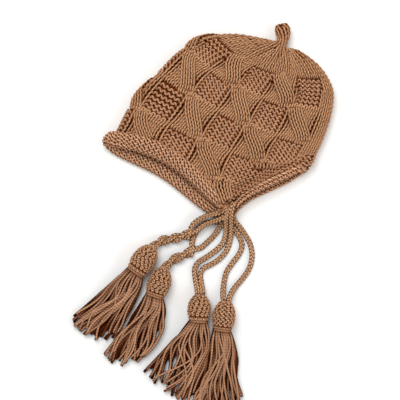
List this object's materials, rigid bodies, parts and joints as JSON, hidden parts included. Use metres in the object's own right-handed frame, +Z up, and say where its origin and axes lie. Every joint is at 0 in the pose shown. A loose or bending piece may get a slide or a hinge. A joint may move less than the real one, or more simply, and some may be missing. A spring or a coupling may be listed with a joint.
{
  "type": "knitted tassel hat",
  "caption": "Knitted child's bonnet with cables, a rolled brim, a small top nub, ear flaps and tassels on doubled ties, lying on its side.",
  "frame": {"origin": "on the surface that it lies on, under the middle of the bonnet's box without its ties and tassels", "axes": "+Z up from the surface, +Y towards the top nub's end of the lying bonnet, +X towards its nape"},
  "size_m": [0.2335, 0.3468, 0.0243],
  "materials": {
    "knitted_wool": "matt knitted wool yarn",
    "purl_roll": "matt knitted wool yarn, purl side out",
    "tie_cord": "matt braided wool cord",
    "tassel_yarn": "matt loose wool yarn"
  },
  "bodies": {
    "root": {"crown": "knitted_wool", "rolled_brim": "purl_roll", "neck_edging": "purl_roll", "top_nub": "knitted_wool", "tie_1a": "tie_cord", "tie_1b": "tie_cord", "tie_1_twist": "tie_cord", "tie_2a": "tie_cord", "tie_2b": "tie_cord", "tie_2_twist": "tie_cord", "tie_3a": "tie_cord", "tie_3b": "tie_cord", "tie_4a": "tie_cord", "tie_4b": "tie_cord", "tassel_head_1": "tassel_yarn", "tassel_head_2": "tassel_yarn", "tassel_head_3": "tassel_yarn", "tassel_head_4": "tassel_yarn", "tassel_skirt_1": "tassel_yarn", "tassel_skirt_2": "tassel_yarn", "tassel_skirt_3": "tassel_yarn", "tassel_skirt_4": "tassel_yarn"}
  },
  "joints": []
}
